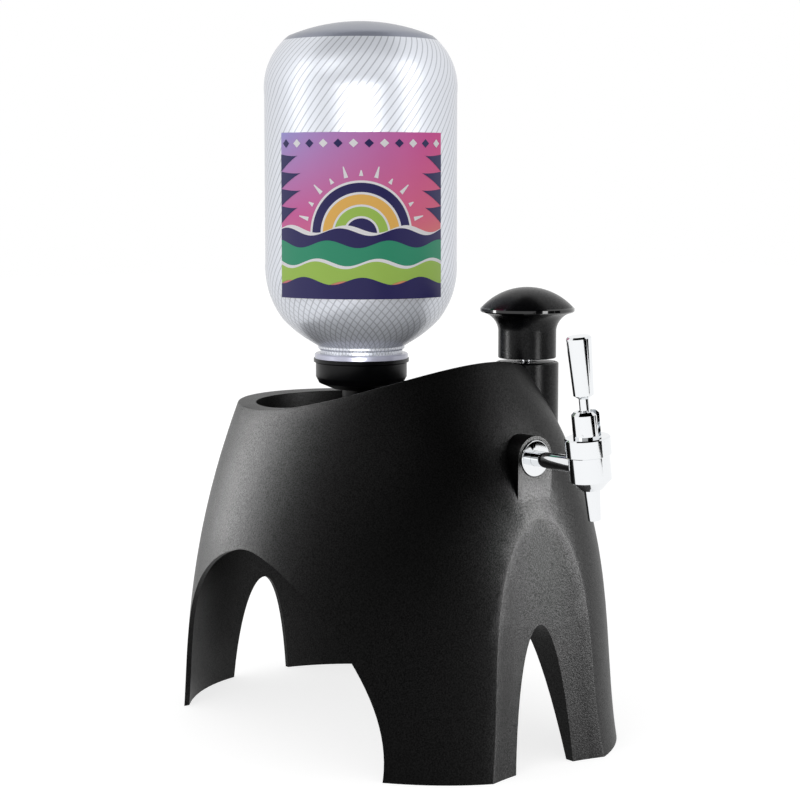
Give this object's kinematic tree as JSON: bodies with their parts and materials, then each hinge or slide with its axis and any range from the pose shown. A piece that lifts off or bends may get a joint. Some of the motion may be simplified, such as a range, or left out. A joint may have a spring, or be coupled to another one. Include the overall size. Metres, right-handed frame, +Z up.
{
  "type": "mini keg beer dispenser",
  "caption": "Counter-top mini keg dispenser: black four-legged domed stand, inverted silver keg, hand air pump and chrome lever tap.",
  "frame": {"origin": "on the floor under the middle of the whole object's bounding box", "axes": "+X to the front, where the tap is; +Y to the left seen from the front; +Z up along the keg"},
  "size_m": [0.3917, 0.2566, 0.502],
  "materials": {
    "stand_abs": "fine spark-eroded texture, satin black ABS",
    "liner_abs": "satin black ABS",
    "pump_abs": "satin black ABS, soft sheen",
    "lip_abs": "polished black",
    "coupler_pom": "black acetal",
    "tap_chrome": "polished chrome on brass",
    "steel": "bright stainless steel",
    "screw_steel": "zinc plated",
    "seal_rubber": "smooth moulded",
    "clear_hose": "clear food hose",
    "keg_pet": "silver film over PET, fine net print",
    "ring_pet": "translucent silver",
    "cap_pp": "black polypropylene",
    "label_film": "printed film"
  },
  "bodies": {
    "stand": {"base_shell": "stand_abs", "well_liner": "liner_abs", "pump_clamp": "liner_abs", "liner_screws": "screw_steel", "hose_clips": "screw_steel", "coupler_body": "coupler_pom", "coupler_nut": "coupler_pom", "beer_elbow": "coupler_pom", "coupler_seal": "seal_rubber", "air_valve": "seal_rubber", "gland_wiper": "seal_rubber", "foot_valve": "seal_rubber", "shank_gasket": "seal_rubber", "stem_seal": "seal_rubber", "spear": "steel", "valve_spring": "steel", "air_hose": "clear_hose", "beer_hose": "clear_hose", "pump_tube": "pump_abs", "pump_gland": "pump_abs", "pump_foot": "pump_abs", "tap_shank": "tap_chrome", "shank_flange": "tap_chrome", "shank_nut": "tap_chrome", "tap_body": "tap_chrome", "tap_nozzle": "tap_chrome", "tap_collar": "tap_chrome", "tap_bonnet": "tap_chrome", "lever_pin": "tap_chrome"},
    "plunger": {"plunger_rod": "steel", "piston": "pump_abs", "piston_seal": "seal_rubber", "piston_nut": "screw_steel", "knob_grip": "pump_abs", "knob_ring": "lip_abs", "knob_cap": "pump_abs"},
    "lever": {"tap_lever": "tap_chrome"},
    "valve": {"valve_stem": "steel", "valve_washer": "seal_rubber"},
    "keg": {"keg_bottle": "keg_pet", "neck_ring": "ring_pet", "keg_cap": "cap_pp", "cap_grommet": "seal_rubber", "keg_label": "label_film"}
  },
  "joints": [
    {"name": "pump_slide", "type": "slide", "parent": "stand", "child": "plunger", "axis": [0, 0, 1], "range_m": [0, 0.07]},
    {"name": "lever_tilt", "type": "hinge", "parent": "stand", "child": "lever", "pos_m": [0.1826, -0.00308, 0.2304], "axis": [-0.5446, 0.8315, 0.1095], "range_deg": [0, 35]},
    {"name": "valve_push", "type": "slide", "parent": "stand", "child": "valve", "axis": [0, 0.1305, -0.9914], "range_m": [0, 0.00136], "stiffness_N_per_m": 110, "springref_m": -0.003, "deforming": ["valve_spring"]},
    {"name": "keg_lift", "type": "slide", "parent": "stand", "child": "keg", "axis": [0, 0, 1], "range_m": [0, 0.045]}
  ],
  "couplings": [
    {"joint": "valve_push", "follows": "lever_tilt", "m_per_rad": 0.0022}
  ]
}
